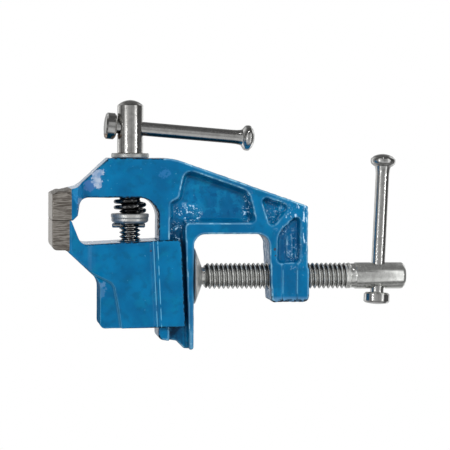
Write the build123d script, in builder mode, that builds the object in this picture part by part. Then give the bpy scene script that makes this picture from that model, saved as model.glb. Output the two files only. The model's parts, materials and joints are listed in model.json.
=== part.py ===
from build123d import *
import os
from math import cos, pi, radians, sin, sqrt, tan

# A small clamp-on hobby vise, in millimetres, drawn as it stands on a tabletop.
# The origin is on the seat that rests on the tabletop, on the axis of the clamp screw.
# X is the way the jaws open and close, with the turning bar on the +X side. Y is across
# the jaws and Z is up.

# Jaws
jaw_width = 25.0  # Y
jaw_top = 43.0  # height of the jaws above the seat
jaw_grip_height = 5.8  # ground part of each jaw, below its top
jaw_split = 17.4  # X of the plane where the closed jaws meet
fixed_jaw_thickness = 8.8  # X
moving_jaw_thickness = 8.8  # X
jaw_nose = 1.1  # X, bevel on the fixed jaw's upper outer corner
jaw_nose_height = 2.2  # Z of that bevel
painted_strip_height = 1.9  # Z, under the ground part of the fixed jaw
painted_strip_inset = 1.5  # X, it starts behind the plane of the grip
painted_strip_narrowing = 1.0  # Y, on each side
closed_jaw_gap = 0.05
jaw_opening = 20.0  # travel of the moving jaw

# Body casting: arm, C-frame, guide rail and seat
body_width = 13.6  # Y, over the flanges
web_thickness = 5.2  # Y
arm_reach = 35.9  # X of the flat that the main screw's hub bears on
arm_flat_top = 25.9  # Z where that flat begins, under the jaw
arm_flat_bottom = 6.4  # Z where the flat turns into the sloping back
arm_shoulder = 1.0  # X, the arm's outer corner stands out past the jaw
arm_shoulder_radius = 3.0
arm_back_radius = 16.0  # between its flat and its sloping back
arm_neck_width = 11.6  # Y, just under the fixed jaw
arm_neck_top = 1.7  # Z from the jaw's back to the narrowest place
arm_neck_drop = 8.6  # Z from the jaw's back to the arm's full width
gap_reach = 24.0  # X of the ceiling of the opening behind the jaws
gap_corner = 6.0  # radius over the rail
gap_roof_radius = 3.0
gap_roof_drop = 1.1  # Z from the jaw's back to that roof
back_corner_reach = 21.6  # X of the outer corner over the clamp boss
throat_height = 22.7  # Z from the seat to the clamp boss, for the table
throat_reach = 13.1  # X of the throat's end wall
throat_corner = 3.5
throat_draft = 3.0  # degrees, the boss side of the throat leans outward
boss_length = 12.6  # Z
boss_reach = 7.6  # X below the clamp screw's axis
boss_step = 0.5  # Z, the boss stands proud of the frame's end
boss_step_reach = 3.2  # X where it starts
boss_tip_radius = 1.8
rail_top = 10.7  # Z of the rail's upper face
rail_thickness = 3.4  # Z of the rail's head
rail_reach = 18.7  # X below the clamp screw's axis
rail_tip_radius = 1.6
rail_neck_drop = 2.4  # Z from the rail's head to the slope of the tip
seat_reach = 21.9  # X of the seat flange's tip below the clamp screw's axis
seat_root_thickness = 2.8  # Z at the throat
seat_tip_thickness = 1.3  # Z at the tip
seat_tip_rise = 1.2  # Z from the flange to the slope of the tip
rim_thickness = 1.9  # flange round the pockets, along the sloping back
throat_rim = 3.4  # X of the flange between the throat and the big pocket
rib_thickness = 2.5  # Z, the rib between the big pocket and the small one
big_pocket_top = 2.9  # Z where its outer side ends
big_pocket_bottom = -19.0  # Z at the throat's side
small_pocket_top = -20.0  # Z
small_pocket_bottom = -29.6  # Z
small_pocket_floor = 0.8  # Y, its floor lies this much higher than the big one's
pocket_corner = 1.3
pocket_draft = 14.0  # degrees
boss_pocket_reach = 4.2  # X where it starts
boss_pocket_height = 7.0  # Z
boss_pocket_floor = 1.8  # Y, its floor lies this much higher than the big one's
boss_pocket_curve = 6.0  # radius where its rim turns along the boss
boss_rim = 2.9  # Z between it and the boss's end
panel_reach = 5.4  # X where the shallow panel on the boss ends
panel_bottom = 3.6  # Z above the boss's end
panel_height = 4.8  # Z
panel_depth = 0.5  # Y
cast_corner = 0.8
tip_corner = 0.6

# Moving jaw casting: jaw, arm and the block that rides the rail
block_width = 18.0  # Y
block_reach = 15.2  # X of the block's end below the clamp screw's axis
block_top_reach = 11.6  # X of the block's upper side, by the rail
block_back = 28.4  # Z of the block's outer face
block_seat_gap = 1.2  # Z between the block and the seat flange, at the block's end
block_lean = 3.0  # degrees, taper of the block's sides
block_taper = 0.4  # X, the block's end draws in towards the seat
neck_end_reach = -1.2  # X where the arm's back meets the block's outer face
neck_radius = 5.0  # between the two
neck_swell = 6.2  # Z from the jaw to the block's full width
jaw_corner = 1.6  # radius, lower outer corner of the jaw's top
recess_depth = 1.2  # Y, the block's sides are set back near its outer face
recess_width = 5.2  # Z
recess_radius = 3.0
groove_rise = 1.8  # Z above the rail's head
groove_slope = 1.6  # Z that it falls from one end of the block to the other
groove_width = 0.9  # Z, between the block and its cheeks
groove_depth = 0.45  # Y
cheek_round = 0.3  # radius on the edges of the block's sides
slide_clearance = 0.15  # round the rail's head
neck_clearance = 0.3

# Main screw, 1/4 inch with 20 threads an inch, and what is on it
screw_height = 18.9  # Z of its axis
screw_diameter = 6.35
screw_pitch = 1.27
thread_engagement = 6.0  # X that stays in the block when the jaws are wide open
main_hub_diameter = 7.8
main_hub_length = 14.4
main_hub_dome = 1.6
running_clearance = 0.05  # on radius, between a screw and its bore
face_clearance = 0.05  # between faces that turn on one another
thread_depth_share = 0.6134  # of the pitch, for unified threads
edge_break = 1 / 6  # of a washer's thickness or a pin's diameter
hub_washer_diameter = 11.4
hub_washer_thickness = 1.35
pin_diameter = 1.4
pin_length = 10.0
pin_distance = 8.55  # X from the arm to the pin through the screw
pin_shift = 0.4  # Z, the pin isn't driven in quite evenly
collar_diameter = 11.2
collar_thickness = 1.5
spring_washer_diameter = 11.5
spring_washer_thickness = 1.3
spring_diameter = 9.9
spring_wire = 1.25
spring_turns = 2.0
spring_start = 200.0  # degrees, where its first end lies round the screw
spring_seat_gap = 0.2  # between the spring and the arm

# Clamp screw, 5/16 inch with 18 threads an inch, and its swivel pad
clamp_diameter = 7.94
clamp_pitch = 1.411
clamp_hub_diameter = 8.1
clamp_hub_length = 16.1
clamp_hub_distance = 14.7  # Z from the boss to the hub
clamp_hub_step = 0.6  # Z of the small groove over the hub
clamp_hub_bevel = 1.0  # at its lower end
clamp_neck_diameter = 5.4
clamp_neck_length = 0.9
clamp_rest_gap = 0.95  # Z between the screw's shoulder and the boss, wide open
pad_diameter = 16.9
pad_back_diameter = 6.8
pad_rim = 0.6
pad_edge = 0.2
pad_thickness = 2.6
pad_seat_gap = 0.25
pad_recess_diameter = 7.0
pad_recess_depth = 1.15
rivet_diameter = 6.0
rivet_thickness = 0.8
rivet_edge = 0.4
spigot_diameter = 4.2
swivel_clearance = 0.1

# Turning bars
bar_diameter = 4.2
bar_length = 46.4  # over both ends
bar_hole_diameter = 5.0
bar_head_diameter = 7.8
bar_head_length = 3.9
bar_head_edge = 0.5
bar_head_flat = 1.0  # length of its rim
bar_neck_diameter = 4.8
bar_neck_length = 3.0
bar_cap_diameter = 8.0
bar_cap_length = 3.6
bar_cap_socket = 2.4
bar_cap_edge = 0.6
bar_cap_crown = 0.9
bar_cap_rise = 0.2  # height of the dome on its end
press_fit = 0.01  # on radius, for the cap on the bar and the pin in the screw
main_bar_offset = 7.65  # X from the start of the main screw's hub to its hole
main_bar_lean = 4.6  # degrees, the loose bar hangs askew in its hole
main_bar_turn = 3.0  # degrees, how far the hub is turned at rest
main_bar_slack = 0.2  # from the cap to the hub
clamp_bar_offset = 7.8  # Z from the start of the clamp screw's hub to its hole
clamp_bar_lean = 3.3  # degrees
clamp_bar_turn = 5.0  # degrees
clamp_bar_slack = 0.95  # from the cap to the hub

# Sizes worked out from those above
body_half = body_width / 2
web_half = web_thickness / 2
jaw_half = jaw_width / 2
block_half = block_width / 2
jaw_back = jaw_top - jaw_grip_height - painted_strip_height
fixed_jaw_end = jaw_split + fixed_jaw_thickness
moving_jaw_end = jaw_split - moving_jaw_thickness
jaw_grip_back = jaw_top - jaw_grip_height
boss_face = -throat_height - boss_length
throat_lean = (throat_reach + boss_reach) * tan(radians(throat_draft))
rail_bottom = rail_top - rail_thickness
long_reach = 2 * (arm_reach + seat_reach)
frame_end = boss_face + boss_step
back_slope = (arm_reach - back_corner_reach) / (arm_flat_bottom - boss_face)
pocket_depth = body_half - web_half
strip_start = jaw_split + painted_strip_inset
strip_half = jaw_half - painted_strip_narrowing
screw_end = block_top_reach - jaw_opening - thread_engagement
clamp_travel = throat_height - pad_seat_gap - pad_thickness - clamp_neck_length - clamp_rest_gap
main_hub_start = arm_reach + hub_washer_thickness + 2 * face_clearance
main_bar_place = main_hub_start + main_bar_offset
pin_place = gap_reach - pin_distance
clamp_hub_top = boss_face - clamp_hub_distance
clamp_bar_place = clamp_hub_top - clamp_bar_offset
main_axis = Axis((0, 0, screw_height), (1, 0, 0))
side_plane = Plane.XZ.offset(-body_half)


def back_reach(height):
    """X of the sloping back of the frame at a height."""
    return arm_reach - back_slope * (arm_flat_bottom - height)


def seat_thickness(reach):
    """Thickness of the seat flange, which tapers from its root to its tip."""
    part_way = (reach + seat_reach) / (throat_reach + seat_reach)
    return seat_tip_thickness + (seat_root_thickness - seat_tip_thickness) * part_way


def closed_outline(corners):
    """A closed line through corners (x, y, radius)."""
    points = [(x, y) for x, y, radius in corners]
    radii = [radius for x, y, radius in corners]
    return FilletPolyline(*points, radius=radii, close=True)


# Body casting. Its side view holds the arm, the C-frame, the rail and the seat.
body_outline = [
    (strip_start, jaw_grip_back, 0),
    (fixed_jaw_end, jaw_grip_back + jaw_nose_height, 0),
    (fixed_jaw_end + arm_shoulder, jaw_back, arm_shoulder_radius),
    (arm_reach, arm_flat_top, cast_corner),
    (arm_reach, arm_flat_bottom, arm_back_radius),
    (back_corner_reach, frame_end, cast_corner),
    (boss_step_reach, frame_end, 0),
    (boss_step_reach - 2 * boss_step, boss_face, 0),
    (-boss_reach, boss_face, boss_tip_radius),
    (-boss_reach, -throat_height - throat_lean, cast_corner),
    (throat_reach, -throat_height, throat_corner),
    (throat_reach, 0, throat_corner),
    (-seat_reach, 0, tip_corner),
    (-seat_reach, seat_tip_thickness + seat_tip_rise, cast_corner),
    (-rail_reach - cast_corner, rail_bottom - rail_neck_drop, cast_corner),
    (-rail_reach, rail_top, rail_tip_radius),
    (gap_reach, rail_top, gap_corner),
    (gap_reach, jaw_back - gap_roof_drop, gap_roof_radius),
    (strip_start, jaw_back, 0),
]
# Seen from above, the arm draws in behind the wide jaw and swells again to the frame.
arm_plan = [
    (0, jaw_top, 0),
    (strip_half, jaw_top, 0),
    (strip_half, jaw_back, 0),
    (arm_neck_width / 2, jaw_back - arm_neck_top, cast_corner),
    (body_half, jaw_back - arm_neck_drop, cast_corner),
    (body_half, boss_face, 0),
    (0, boss_face, 0),
]
fixed_jaw_outline = [
    (jaw_split, jaw_top, 0),
    (fixed_jaw_end - jaw_nose, jaw_top, 0),
    (fixed_jaw_end, jaw_top - jaw_nose_height, tip_corner),
    (fixed_jaw_end - jaw_nose / 4, jaw_top - 2 * jaw_nose_height, tip_corner),
    (fixed_jaw_end - jaw_nose, jaw_back + painted_strip_height, tip_corner),
    (fixed_jaw_end - jaw_nose - painted_strip_height, jaw_back, tip_corner),
    (strip_start, jaw_back, tip_corner),
    (jaw_split, jaw_back + painted_strip_inset, 0),
]
# The big pocket runs into the neck of the rail, so that the frame is an I in section.
pocket_start = throat_reach + throat_rim
pocket_shoulder = gap_reach - pocket_corner
slope_end = big_pocket_bottom + rib_thickness
big_pocket_outline = [
    (pocket_start, rail_bottom, 0),
    (pocket_shoulder, rail_bottom, pocket_corner),
    (gap_reach, rail_bottom - 2 * pocket_corner, pocket_corner),
    (back_reach(big_pocket_top) - rim_thickness, big_pocket_top, 2 * pocket_corner),
    (back_reach(slope_end) - rim_thickness, slope_end, throat_corner),
    (pocket_start, big_pocket_bottom, pocket_corner),
]
# Past the tip of the rail and the seat
past_tip = seat_reach + throat_corner
neck_groove_outline = [
    (-past_tip, rail_bottom, 0),
    (pocket_start + pocket_corner, rail_bottom, 0),
    (pocket_start + pocket_corner, seat_root_thickness, 0),
    (throat_reach + pocket_corner, seat_thickness(throat_reach), 0),
    (-past_tip, seat_thickness(-past_tip), 0),
]
small_pocket_outline = [
    (back_reach(small_pocket_top) - rim_thickness, small_pocket_top, pocket_corner),
    (back_reach(small_pocket_bottom) - rim_thickness, small_pocket_bottom, pocket_corner),
    (throat_reach + pocket_corner, -throat_height - rib_thickness / 4, pocket_corner),
]
boss_pocket_bottom = frame_end + boss_rim - boss_step
boss_pocket_top = boss_pocket_bottom + boss_pocket_height
boss_pocket_end = back_corner_reach - throat_rim
boss_pocket_outline = [
    (boss_pocket_end, boss_pocket_bottom, pocket_corner),
    (boss_pocket_end, boss_pocket_bottom + 1.6 * pocket_corner, pocket_corner),
    (throat_reach, boss_pocket_top, boss_pocket_curve),
    (boss_pocket_reach, boss_pocket_top, pocket_corner),
    (boss_pocket_reach, boss_pocket_bottom, pocket_corner),
]
panel_foot = boss_face + panel_bottom
boss_panel_outline = [
    (panel_reach, panel_foot + panel_height, 0),
    (panel_reach, panel_foot, 0),
    (-boss_reach - panel_depth, panel_foot, 0),
    (-boss_reach - panel_depth, panel_foot + panel_height, 0),
]


def pocket_cutter(outline, depth, draft):
    """A pocket's cutter in one flange face, narrower towards its floor."""
    with BuildPart(mode=Mode.PRIVATE) as cutter:
        with BuildSketch(side_plane):
            with BuildLine():
                closed_outline(outline)
            make_face()
        extrude(amount=depth, taper=draft)
    return cutter.part


pockets = [
    pocket_cutter(big_pocket_outline, pocket_depth, pocket_draft),
    pocket_cutter(neck_groove_outline, pocket_depth, 0),
    pocket_cutter(small_pocket_outline, pocket_depth - small_pocket_floor, pocket_draft),
    pocket_cutter(boss_pocket_outline, pocket_depth - boss_pocket_floor, pocket_draft),
    pocket_cutter(boss_panel_outline, panel_depth, 0),
]

with BuildPart() as body_casting:
    with BuildSketch(Plane.XZ):
        with BuildLine():
            closed_outline(body_outline)
        make_face()
    extrude(amount=jaw_half, both=True)
    with BuildSketch(Plane.YZ):
        with BuildLine():
            closed_outline(arm_plan)
        make_face()
        mirror(about=Plane.YZ)
    extrude(amount=long_reach, both=True, mode=Mode.INTERSECT)
    with BuildSketch(Plane.XZ):
        with BuildLine():
            closed_outline(fixed_jaw_outline)
        make_face()
    extrude(amount=jaw_half, both=True)
    for pocket in pockets:
        add(pocket, mode=Mode.SUBTRACT)
        add(pocket.mirror(Plane.XZ), mode=Mode.SUBTRACT)
    # The bore that the main screw turns in
    with BuildSketch(Plane.YZ.offset(gap_reach - gap_corner / 2)):
        with Locations((0, screw_height)):
            Circle(screw_diameter / 2 + running_clearance)
    extrude(amount=arm_reach, mode=Mode.SUBTRACT)
    # The bore of the clamp boss
    with BuildSketch(Plane.XY.offset(boss_face)):
        Circle(clamp_diameter / 2 + running_clearance)
    extrude(amount=boss_length + throat_height / 2, mode=Mode.SUBTRACT)


# Moving jaw casting. Its block hangs on the rail's head by a T-shaped slot.
lean = tan(radians(block_lean))
block_front = seat_thickness(-block_reach) + block_seat_gap
moving_jaw_start = jaw_split - closed_jaw_gap
block_outline = [
    (moving_jaw_end + jaw_corner, jaw_top - jaw_corner, 0),
    (moving_jaw_end, jaw_grip_back + jaw_corner, 0),
    (neck_end_reach, block_back, neck_radius),
    (-block_reach, block_back, rail_tip_radius),
    (-block_reach + block_taper, block_front, cast_corner),
    (block_top_reach, block_front + (block_reach + block_top_reach) * lean, jaw_corner),
    (block_top_reach - jaw_corner, jaw_grip_back - gap_roof_radius, gap_roof_radius),
    (moving_jaw_start, jaw_grip_back, 0),
    (moving_jaw_start - jaw_corner, jaw_grip_back + jaw_corner, 0),
]
block_plan = [
    (0, jaw_top - jaw_corner, 0),
    (jaw_half - slide_clearance, jaw_top - jaw_corner, 0),
    (jaw_half - slide_clearance, jaw_grip_back, 0),
    (block_half, jaw_grip_back - neck_swell, neck_swell),
    (block_half, 0, 0),
    (0, 0, 0),
]
moving_jaw_outline = [
    (moving_jaw_start, jaw_top, 0),
    (moving_jaw_end, jaw_top, jaw_corner),
    (moving_jaw_end, jaw_grip_back, cast_corner),
    (moving_jaw_start, jaw_grip_back, 0),
]
past_block = block_reach + block_taper
recess_floor_height = block_back - recess_width
recess_outline = [
    (neck_end_reach + recess_radius, block_back + recess_width, 0),
    (neck_end_reach + recess_radius, block_back + recess_radius, 0),
    (neck_end_reach - block_taper, recess_floor_height + recess_depth, recess_radius),
    (-block_reach / 2, recess_floor_height, 0),
    (-past_block, recess_floor_height - recess_depth, 0),
    (-past_block, block_back + recess_width, 0),
]
groove_start = rail_top + groove_rise
groove_outline = [
    (block_top_reach + jaw_corner, groove_start, 0),
    (block_top_reach + jaw_corner, groove_start + groove_width, 0),
    (-past_block, groove_start - groove_slope + groove_width, 0),
    (-past_block, groove_start - groove_slope, 0),
]
slot_half = body_half + slide_clearance
neck_half = web_half + neck_clearance
slot_section = [
    (0, 0, 0),
    (neck_half, 0, 0),
    (neck_half, rail_bottom - slide_clearance, 0),
    (slot_half, rail_bottom - slide_clearance, 0),
    (slot_half, rail_top + slide_clearance, 0),
    (0, rail_top + slide_clearance, 0),
]

with BuildPart() as moving_jaw:
    with BuildSketch(Plane.XZ):
        with BuildLine():
            closed_outline(block_outline)
        make_face()
    extrude(amount=jaw_half, both=True)
    with BuildSketch(Plane.YZ):
        with BuildLine():
            closed_outline(block_plan)
        make_face()
        mirror(about=Plane.YZ)
    extrude(amount=long_reach, both=True, mode=Mode.INTERSECT)
    with BuildSketch(Plane.XZ):
        with BuildLine():
            closed_outline(moving_jaw_outline)
        make_face()
    extrude(amount=jaw_half, both=True)
    # Set-back sides behind the screw, and the grooves that mark off the cheeks
    for outline, depth in [(recess_outline, recess_depth), (groove_outline, groove_depth)]:
        for side in (-1, 1):
            with BuildSketch(Plane.XZ.offset(side * (block_half - depth))):
                with BuildLine():
                    closed_outline(outline)
                make_face()
            extrude(amount=side * jaw_half, mode=Mode.SUBTRACT)
    with BuildSketch(Plane.YZ):
        with BuildLine():
            closed_outline(slot_section)
        make_face()
        mirror(about=Plane.YZ)
    extrude(amount=long_reach, both=True, mode=Mode.SUBTRACT)
    # The threaded bore, at the thread's outer diameter
    with BuildSketch(Plane.YZ):
        with Locations((0, screw_height)):
            Circle(screw_diameter / 2 + running_clearance)
    extrude(amount=long_reach, both=True, mode=Mode.SUBTRACT)
    cheeks = moving_jaw.faces().filter_by(Axis.Y).filter_by(
        lambda face: abs(abs(face.center().Y) - block_half) < groove_depth / 2
    )
    fillet(cheeks.edges(), cheek_round)


def turned_ring(plane, outer, inner, thickness):
    """A flat ring with its lower face on a plane and its outer edges broken."""
    with BuildPart() as ring:
        with BuildSketch(plane):
            Circle(outer / 2)
            Circle(inner / 2, mode=Mode.SUBTRACT)
        extrude(amount=thickness)
        chamfer(ring.edges().group_by(SortBy.LENGTH)[-1], thickness * edge_break)
    return ring.part


def across_screw(reach):
    """The plane square to the main screw at a reach."""
    return Plane((reach, 0, screw_height), x_dir=(0, 1, 0), z_dir=(1, 0, 0))


# Main screw: shank, hub with a domed end, the bar's hole and the pin's hole
shank_radius = screw_diameter / 2
thread_depth = thread_depth_share * screw_pitch
hub_radius = main_hub_diameter / 2
hub_end = main_hub_start + main_hub_length
main_bar_way = Vector(0, -sin(radians(main_bar_turn)), cos(radians(main_bar_turn)))

with BuildPart() as main_screw:
    with BuildSketch(Plane.XZ):
        with BuildLine():
            shank = Polyline(
                (screw_end, screw_height),
                (screw_end, screw_height + shank_radius - thread_depth),
                (screw_end + thread_depth, screw_height + shank_radius),
                (main_hub_start, screw_height + shank_radius),
                (main_hub_start, screw_height + hub_radius),
                (hub_end, screw_height + hub_radius),
            )
            dome_tip = (hub_end + main_hub_dome, screw_height)
            TangentArc(dome_tip, shank @ 1, tangent=(0, 1))
            Line(dome_tip, shank @ 0)
        make_face()
    revolve(axis=main_axis)
    with BuildSketch(Plane((main_bar_place, 0, screw_height), z_dir=main_bar_way)):
        Circle(bar_hole_diameter / 2)
    extrude(amount=main_hub_diameter, both=True, mode=Mode.SUBTRACT)
    with BuildSketch(Plane((pin_place, 0, screw_height), z_dir=(0, 0, 1))):
        Circle(pin_diameter / 2 + press_fit)
    extrude(amount=main_hub_diameter, both=True, mode=Mode.SUBTRACT)

# The stack on the screw, from the pin upward
collar_start = pin_place + pin_diameter / 2 + face_clearance
spring_washer_start = collar_start + collar_thickness + face_clearance
spring_low = spring_washer_start + spring_washer_thickness + face_clearance
spring_high = gap_reach - spring_seat_gap
ring_bore = screw_diameter + 2 * running_clearance

hub_washer = turned_ring(
    across_screw(arm_reach + face_clearance), hub_washer_diameter, ring_bore, hub_washer_thickness
)
thrust_collar = turned_ring(
    across_screw(collar_start), collar_diameter, ring_bore, collar_thickness
)
spring_washer = turned_ring(
    across_screw(spring_washer_start), spring_washer_diameter, ring_bore, spring_washer_thickness
)

with BuildPart() as retaining_pin:
    pin_foot = screw_height + pin_shift - pin_length / 2
    with BuildSketch(Plane((pin_place, 0, pin_foot), z_dir=(0, 0, 1))):
        Circle(pin_diameter / 2)
    extrude(amount=pin_length)
    chamfer(retaining_pin.edges().filter_by(GeomType.CIRCLE), pin_diameter * edge_break)

# Take-up spring: it pulls the hub down on the arm. Its helix is swept on arcs of less
# than a quarter turn that meet without a kink.
spring_radius = (spring_diameter - spring_wire) / 2
spring_rise = spring_high - spring_low - spring_wire


def spring_point(turn):
    """Point on the middle of the wire after some turns."""
    angle = radians(spring_start) + 2 * pi * turn
    height = spring_low + spring_wire / 2 + spring_rise * turn / spring_turns
    return Vector(height, spring_radius * cos(angle), screw_height + spring_radius * sin(angle))


def spring_way(turn):
    """Direction of the wire after some turns."""
    angle = radians(spring_start) + 2 * pi * turn
    rise = spring_rise / spring_turns / (2 * pi * spring_radius)
    return Vector(rise, -sin(angle), cos(angle)).normalized()


def arc_pair(start, start_way, end, end_way):
    """Two arcs from start to end that leave and arrive in the given directions."""
    span = end - start
    both_ways = start_way + end_way
    bend = 2 * (1 - start_way.dot(end_way))
    along = span.dot(both_ways)
    reach = (sqrt(along * along + bend * span.dot(span)) - along) / bend
    first_corner = start + start_way * reach
    second_corner = end - end_way * reach
    middle = (first_corner + second_corner) * 0.5
    TangentArc(start, middle, tangent=start_way)
    TangentArc(middle, end, tangent=second_corner - first_corner)


with BuildPart() as take_up_spring:
    with BuildLine() as spring_path:
        quarters = round(4 * spring_turns)
        for quarter in range(quarters):
            turn = quarter / 4
            next_turn = (quarter + 1) / 4
            arc_pair(
                spring_point(turn),
                spring_way(turn),
                spring_point(next_turn),
                spring_way(next_turn),
            )
    with BuildSketch(Plane(spring_point(0), z_dir=spring_way(0))):
        Circle(spring_wire / 2)
    sweep(path=spring_path.wires()[0])

steps = 400
wire_points = [spring_point(spring_turns * step / steps) for step in range(steps + 1)]
half_turn = round(steps / spring_turns / 2)
spring_gap = min(
    (first - second).length - spring_wire
    for index, first in enumerate(wire_points)
    for second in wire_points[index + half_turn:]
)
print("least gap between the spring's turns:", round(spring_gap, 3))

# Clamp screw: its lower end is reduced and riveted over inside the swivel pad
pad_top = -pad_seat_gap
pad_back = pad_top - pad_thickness
recess_floor = pad_top - pad_recess_depth
rivet_floor = recess_floor + swivel_clearance
neck_end = pad_back - clamp_neck_length
clamp_radius = clamp_diameter / 2
clamp_hub_radius = clamp_hub_diameter / 2
clamp_thread_depth = thread_depth_share * clamp_pitch
clamp_hub_end = clamp_hub_top - clamp_hub_length
clamp_bar_way = Vector(-cos(radians(clamp_bar_turn)), -sin(radians(clamp_bar_turn)), 0)

with BuildPart() as clamp_screw:
    with BuildSketch(Plane.XZ):
        with BuildLine():
            Polyline(
                (0, rivet_floor + rivet_thickness),
                (rivet_diameter / 2 - rivet_edge, rivet_floor + rivet_thickness),
                (rivet_diameter / 2, rivet_floor + rivet_thickness - rivet_edge),
                (rivet_diameter / 2, rivet_floor),
                (spigot_diameter / 2, rivet_floor),
                (spigot_diameter / 2, pad_back - swivel_clearance),
                (clamp_neck_diameter / 2, pad_back - swivel_clearance),
                (clamp_neck_diameter / 2, neck_end),
                (clamp_radius - clamp_thread_depth, neck_end),
                (clamp_radius, neck_end - clamp_thread_depth),
                (clamp_radius, clamp_hub_top + 2 * clamp_hub_step),
                (clamp_radius - clamp_hub_step, clamp_hub_top + clamp_hub_step),
                (clamp_radius - clamp_hub_step, clamp_hub_top),
                (clamp_hub_radius, clamp_hub_top - clamp_hub_step),
                (clamp_hub_radius, clamp_hub_end + clamp_hub_bevel),
                (clamp_hub_radius - clamp_hub_bevel, clamp_hub_end),
                (0, clamp_hub_end),
                close=True,
            )
        make_face()
    revolve(axis=Axis.Z)
    with BuildSketch(Plane((0, 0, clamp_bar_place), z_dir=clamp_bar_way)):
        Circle(bar_hole_diameter / 2)
    extrude(amount=clamp_hub_diameter, both=True, mode=Mode.SUBTRACT)

with BuildPart() as clamp_pad:
    with BuildSketch(Plane.XZ):
        with BuildLine():
            Polyline(
                (pad_recess_diameter / 2, pad_top),
                (pad_diameter / 2 - pad_edge, pad_top),
                (pad_diameter / 2, pad_top - pad_edge),
                (pad_diameter / 2, pad_top - pad_rim),
                (pad_back_diameter / 2, pad_back),
                (spigot_diameter / 2 + swivel_clearance, pad_back),
                (spigot_diameter / 2 + swivel_clearance, recess_floor),
                (pad_recess_diameter / 2, recess_floor),
                close=True,
            )
        make_face()
    revolve(axis=Axis.Z)


def bar_plane(hub_centre, way, lean_axis, lean_angle):
    """Plane whose X runs along a turning bar, towards its cap, through the hub."""
    leaning = way.rotate(Axis((0, 0, 0), lean_axis), lean_angle)
    across = leaning.cross(lean_axis)
    return Plane(hub_centre, x_dir=leaning, z_dir=leaning.cross(across))


def cap_start(hub_diameter, lean_angle, slack):
    """Distance from the hub's centre to the cap's face, with the bar askew."""
    tilt = radians(lean_angle)
    return hub_diameter / 2 / cos(tilt) + bar_cap_diameter / 2 * tan(tilt) + slack


def turning_bar(plane, cap_face):
    """Rod with an upset, domed head, its other end reaching into the cap."""
    head_end = cap_face + bar_cap_length - bar_length
    head_start = head_end + bar_head_length
    rod_radius = bar_diameter / 2
    head_radius = bar_head_diameter / 2
    with BuildPart() as bar:
        with BuildSketch(plane):
            with BuildLine():
                side = Polyline(
                    (head_end, 0),
                    (cap_face + bar_cap_socket, 0),
                    (cap_face + bar_cap_socket, rod_radius),
                    (head_start + bar_neck_length, rod_radius),
                    (head_start, bar_neck_diameter / 2),
                    (head_start - bar_head_edge, head_radius - bar_head_edge),
                    (head_start - 2 * bar_head_edge, head_radius),
                    (head_start - 2 * bar_head_edge - bar_head_flat, head_radius),
                )
                TangentArc(side @ 0, side @ 1, tangent=(0, 1))
            make_face()
        revolve(axis=Axis(plane.origin, plane.x_dir))
    return bar.part


def bar_cap(plane, cap_face):
    """Round cap with a blind bore, pressed on the bar's end."""
    cap_end = cap_face + bar_cap_length
    cap_radius = bar_cap_diameter / 2
    bore_radius = bar_diameter / 2 + press_fit
    with BuildPart() as cap:
        with BuildSketch(plane):
            with BuildLine():
                side = Polyline(
                    (cap_face + bar_cap_socket + press_fit, 0),
                    (cap_face + bar_cap_socket + press_fit, bore_radius),
                    (cap_face, bore_radius),
                    (cap_face, cap_radius - bar_cap_edge),
                    (cap_face + bar_cap_edge, cap_radius),
                    (cap_end - bar_cap_crown, cap_radius),
                    (cap_end - bar_cap_rise, cap_radius - bar_cap_crown),
                )
                TangentArc((cap_end, 0), side @ 1, tangent=(0, 1))
                Line((cap_end, 0), side @ 0)
            make_face()
        revolve(axis=Axis(plane.origin, plane.x_dir))
    return cap.part


main_bar_plane = bar_plane(
    (main_bar_place, 0, screw_height), main_bar_way, main_bar_way.cross(Vector(1, 0, 0)), main_bar_lean
)
main_cap_face = cap_start(main_hub_diameter, main_bar_lean, main_bar_slack)
main_bar = turning_bar(main_bar_plane, main_cap_face)
main_bar_cap = bar_cap(main_bar_plane, main_cap_face)

clamp_bar_plane = bar_plane(
    (0, 0, clamp_bar_place), clamp_bar_way, clamp_bar_way.cross(Vector(0, 0, 1)), clamp_bar_lean
)
clamp_cap_face = cap_start(clamp_hub_diameter, clamp_bar_lean, clamp_bar_slack)
clamp_bar = turning_bar(clamp_bar_plane, clamp_cap_face)
clamp_bar_cap = bar_cap(clamp_bar_plane, clamp_cap_face)


def bar_travel(cap_face, hub_diameter, lean_angle):
    """How far a bar slides until the neck of its head meets the hub's hole."""
    shoulder = bar_length - cap_face - bar_cap_length - bar_head_length - bar_neck_length
    tilt = radians(lean_angle)
    return shoulder - hub_diameter / 2 / cos(tilt) - bar_diameter / 2 * tan(tilt)


main_slide = bar_travel(main_cap_face, main_hub_diameter, main_bar_lean)
clamp_slide = bar_travel(clamp_cap_face, clamp_hub_diameter, clamp_bar_lean)
print("main bar points along", main_bar_plane.x_dir, "and slides", round(main_slide, 2))
print("clamp bar points along", clamp_bar_plane.x_dir, "and slides", round(clamp_slide, 2))
print("jaws open", jaw_opening, "in turns of the main screw:", round(jaw_opening / screw_pitch, 3))
print("pad travels", round(clamp_travel, 3), "in turns:", round(clamp_travel / clamp_pitch, 3))

pieces = {
    "body_casting": body_casting.part,
    "moving_jaw": moving_jaw.part,
    "main_screw": main_screw.part,
    "main_bar": main_bar,
    "main_bar_cap": main_bar_cap,
    "hub_washer": hub_washer,
    "take_up_spring": take_up_spring.part,
    "spring_washer": spring_washer,
    "thrust_collar": thrust_collar,
    "retaining_pin": retaining_pin.part,
    "clamp_screw": clamp_screw.part,
    "clamp_pad": clamp_pad.part,
    "clamp_bar": clamp_bar,
    "clamp_bar_cap": clamp_bar_cap,
}
os.makedirs("parts", exist_ok=True)
for name, piece in pieces.items():
    piece.label = name
    export_step(piece, f"parts/{name}.step")
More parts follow.
